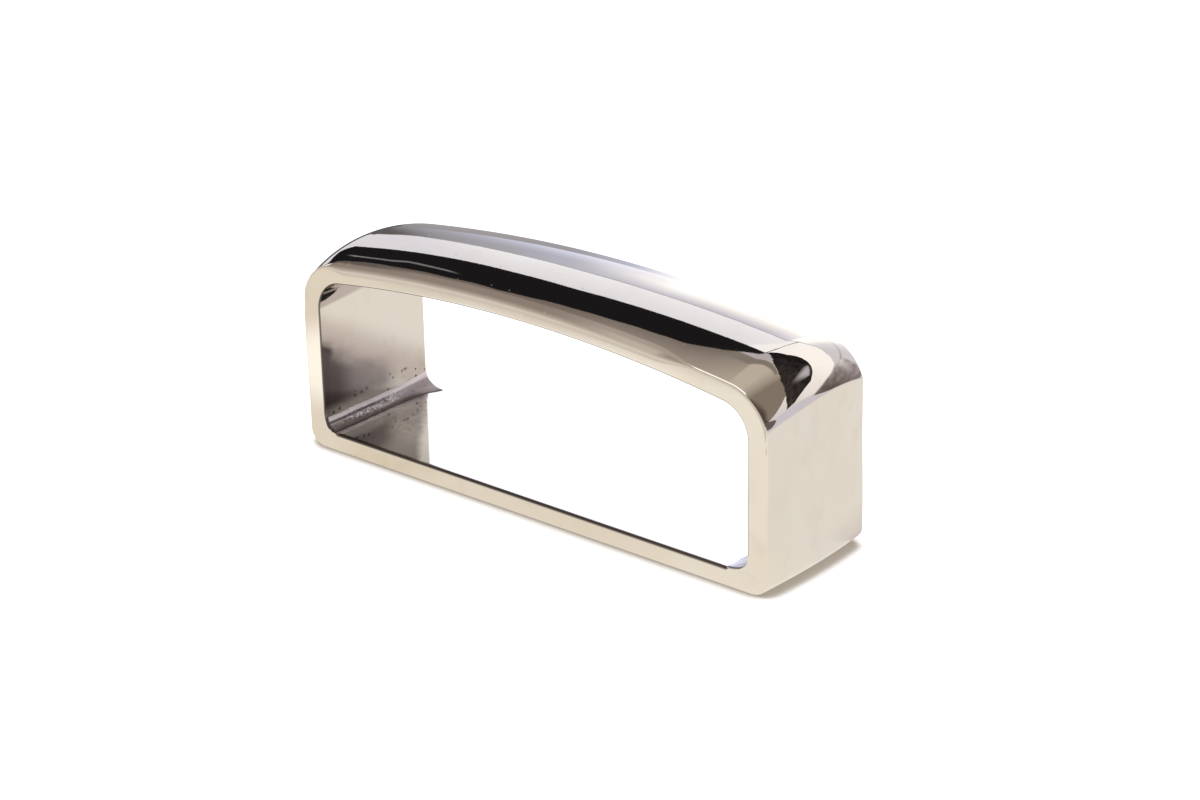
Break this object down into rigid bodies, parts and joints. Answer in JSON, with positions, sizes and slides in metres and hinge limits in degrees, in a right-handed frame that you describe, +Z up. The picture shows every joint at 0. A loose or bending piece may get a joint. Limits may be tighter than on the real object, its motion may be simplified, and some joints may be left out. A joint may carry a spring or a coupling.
{
  "type": "strap loop",
  "caption": "Rigid polished metal loop for a watch strap: a domed, arched bow soldered onto a flat bar, leaving a wide low passage for the strap.",
  "frame": {"origin": "centre of the loop's width and depth, on the underside of the base bar", "axes": "+X across the strap, the loop's long way; +Y along the strap, through the passage; +Z up from the bar to the arch"},
  "size_m": [0.0274, 0.007, 0.0109],
  "materials": {
    "polished_nickel": "polished, warm nickel tint",
    "solder": "dull, grainy, as cast"
  },
  "bodies": {
    "root": {"domed_bow": "polished_nickel", "base_bar": "polished_nickel", "solder_seam_left": "solder", "solder_seam_right": "solder"}
  },
  "joints": []
}
